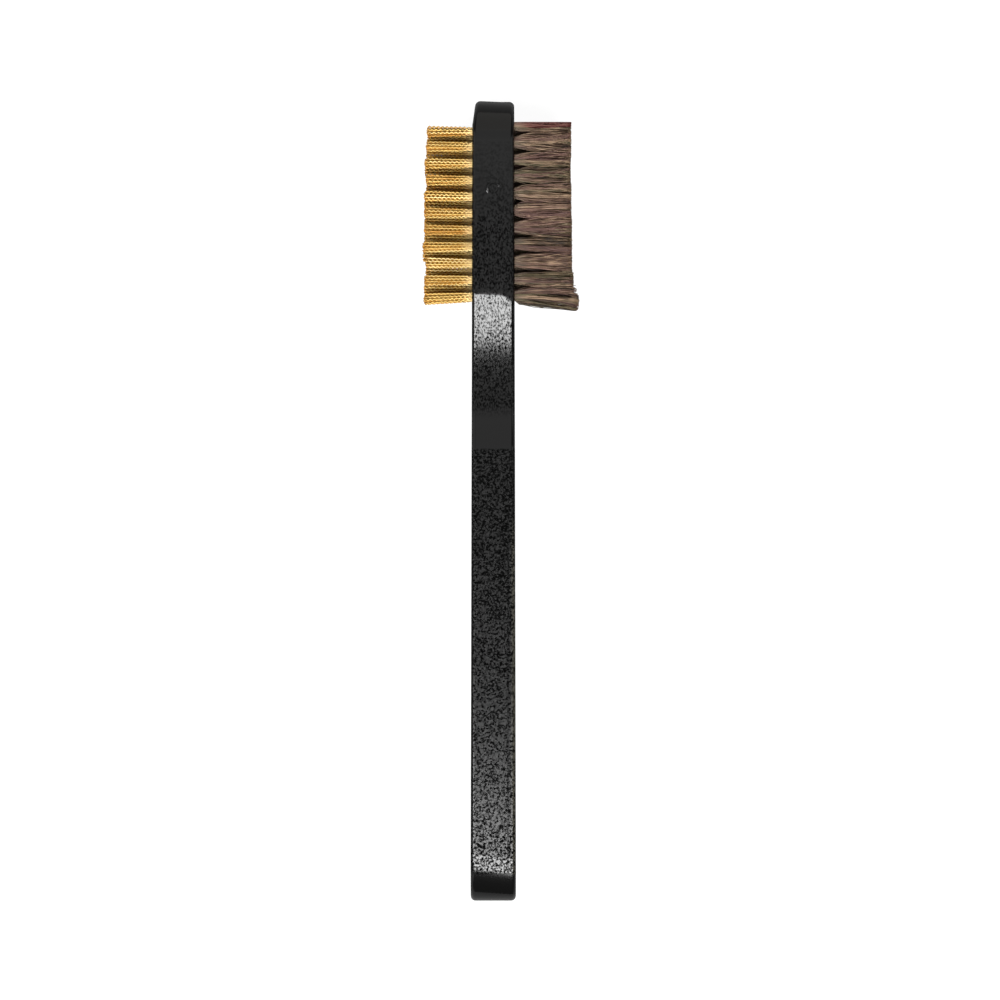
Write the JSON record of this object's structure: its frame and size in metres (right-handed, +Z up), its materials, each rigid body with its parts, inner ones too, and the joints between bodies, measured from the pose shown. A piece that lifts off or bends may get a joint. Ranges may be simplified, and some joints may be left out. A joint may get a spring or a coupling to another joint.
{
  "type": "suede brush",
  "caption": "Two-sided suede brush: crimped brass wire on one wide face of its head, brown hair on the other, and a flat waisted black plastic handle.",
  "frame": {"origin": "on the flat lower side of the head, half way through its thickness and level with the middle of the brass rows", "axes": "+X out along the hair tufts, -X out along the brass tufts, +Y along the handle to the tip of the head, +Z up across the width of the head"},
  "size_m": [0.0348, 0.178, 0.018],
  "materials": {
    "black_plastic": "black moulded plastic, smooth at both ends and with a fine spark-eroded texture between",
    "brass_wire": "fine crimped brass wire, bright on the crests of the crimp",
    "brown_hair": "grey-brown natural hair with lighter and darker hairs mixed in",
    "anchor_steel": "plain drawn flat wire"
  },
  "bodies": {
    "root": {"handle": "black_plastic", "brass_tuft_row_01": "brass_wire", "brass_tuft_row_02": "brass_wire", "brass_tuft_row_03": "brass_wire", "brass_tuft_row_04": "brass_wire", "brass_tuft_row_05": "brass_wire", "brass_tuft_row_06": "brass_wire", "brass_tuft_row_07": "brass_wire", "brass_tuft_row_08": "brass_wire", "brass_tuft_row_09": "brass_wire", "brass_tuft_row_10": "brass_wire", "brass_tuft_row_11": "brass_wire", "brass_anchor_row_01": "anchor_steel", "brass_anchor_row_02": "anchor_steel", "brass_anchor_row_03": "anchor_steel", "brass_anchor_row_04": "anchor_steel", "brass_anchor_row_05": "anchor_steel", "brass_anchor_row_06": "anchor_steel", "brass_anchor_row_07": "anchor_steel", "brass_anchor_row_08": "anchor_steel", "brass_anchor_row_09": "anchor_steel", "brass_anchor_row_10": "anchor_steel", "brass_anchor_row_11": "anchor_steel", "hair_tuft_row_01": "brown_hair", "hair_tuft_row_02": "brown_hair", "hair_tuft_row_03": "brown_hair", "hair_tuft_row_04": "brown_hair", "hair_tuft_row_05": "brown_hair", "hair_tuft_row_06": "brown_hair", "hair_tuft_row_07": "brown_hair", "hair_tuft_row_08": "brown_hair", "hair_tuft_row_09": "brown_hair", "hair_tuft_row_10": "brown_hair", "hair_tuft_row_11": "brown_hair", "hair_anchor_row_01": "anchor_steel", "hair_anchor_row_02": "anchor_steel", "hair_anchor_row_03": "anchor_steel", "hair_anchor_row_04": "anchor_steel", "hair_anchor_row_05": "anchor_steel", "hair_anchor_row_06": "anchor_steel", "hair_anchor_row_07": "anchor_steel", "hair_anchor_row_08": "anchor_steel", "hair_anchor_row_09": "anchor_steel", "hair_anchor_row_10": "anchor_steel", "hair_anchor_row_11": "anchor_steel"}
  },
  "joints": []
}
